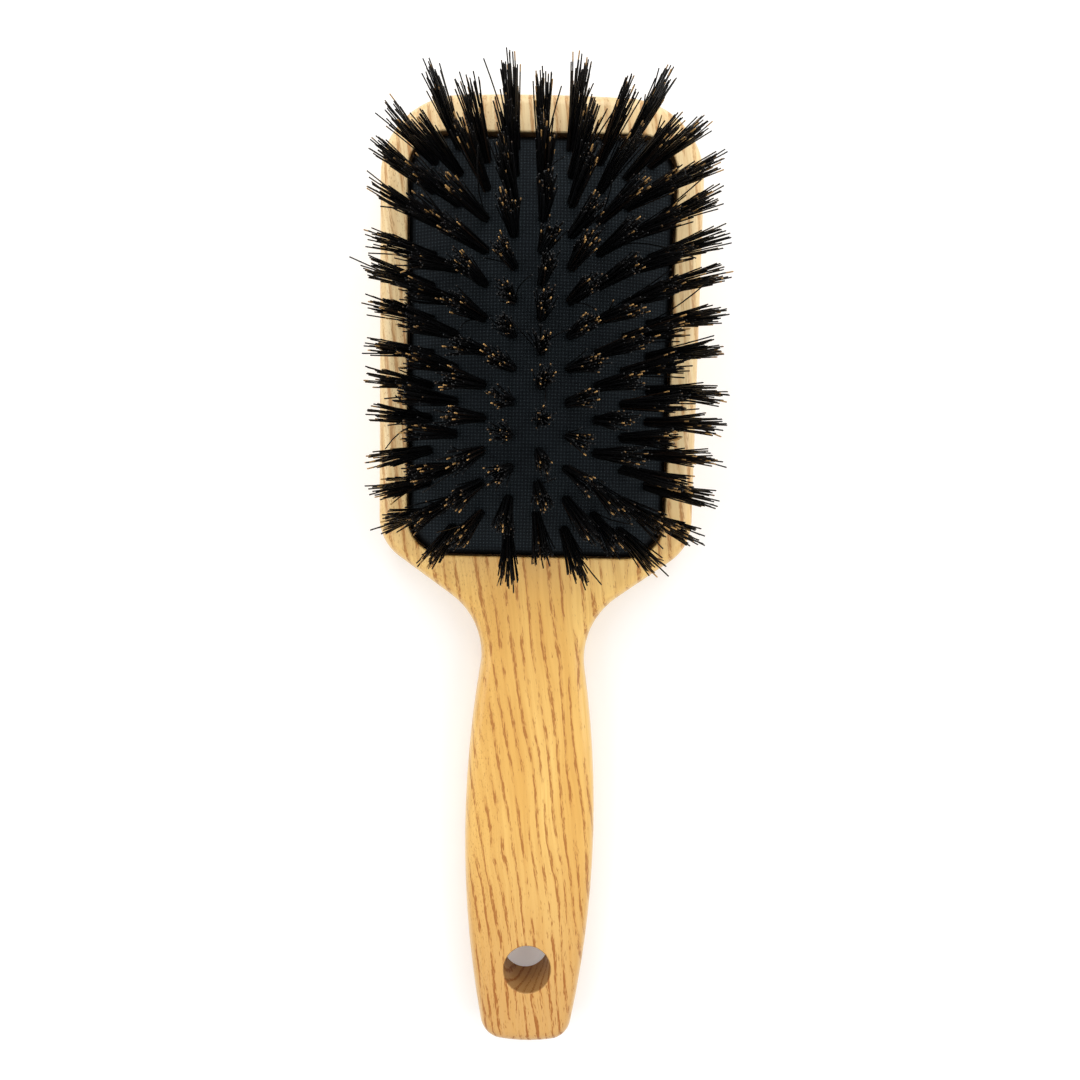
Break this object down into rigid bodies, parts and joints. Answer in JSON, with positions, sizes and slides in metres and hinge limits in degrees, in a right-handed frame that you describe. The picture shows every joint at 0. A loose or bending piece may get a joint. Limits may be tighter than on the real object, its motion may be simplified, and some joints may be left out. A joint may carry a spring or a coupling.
{
  "type": "paddle brush",
  "caption": "Flat wooden paddle hair brush with a domed cushion pad, rows of dark bristle tufts that sink with it, and a hang hole in the handle.",
  "frame": {"origin": "on the board's flat back, under the middle of the cushion's opening", "axes": "+Z out of the back towards the bristle tips, +Y along the board from the handle to the head's end, +X across the head"},
  "size_m": [0.0888, 0.2438, 0.0475],
  "materials": {
    "board_wood": "satin",
    "pad_rubber": "matte",
    "bristle": "satin",
    "anchor_wire": "satin"
  },
  "bodies": {
    "board": {"wood_body": "board_wood", "cushion": "pad_rubber"},
    "tuft_field": {"tuft_row_01": "bristle", "tuft_row_02": "bristle", "tuft_row_03": "bristle", "tuft_row_04": "bristle", "tuft_row_05": "bristle", "tuft_row_06": "bristle", "tuft_row_07": "bristle", "tuft_row_08": "bristle", "tuft_row_09": "bristle", "tuft_row_10": "bristle", "tuft_row_11": "bristle", "tuft_row_12": "bristle", "tuft_row_13": "bristle", "tuft_row_14": "bristle", "tuft_row_15": "bristle", "tuft_row_16": "bristle", "tuft_row_17": "bristle", "tuft_row_18": "bristle", "tuft_row_19": "bristle", "tuft_row_20": "bristle", "tuft_row_21": "bristle", "tuft_row_22": "bristle", "tuft_row_23": "bristle", "tuft_row_24": "bristle", "tuft_row_25": "bristle", "tuft_anchors": "anchor_wire"}
  },
  "joints": [
    {"name": "cushion_press", "type": "slide", "parent": "board", "child": "tuft_field", "axis": [0, 0, 1], "range_m": [-0.003, 0], "stiffness_N_per_m": 2500, "deforming": ["cushion"]}
  ]
}
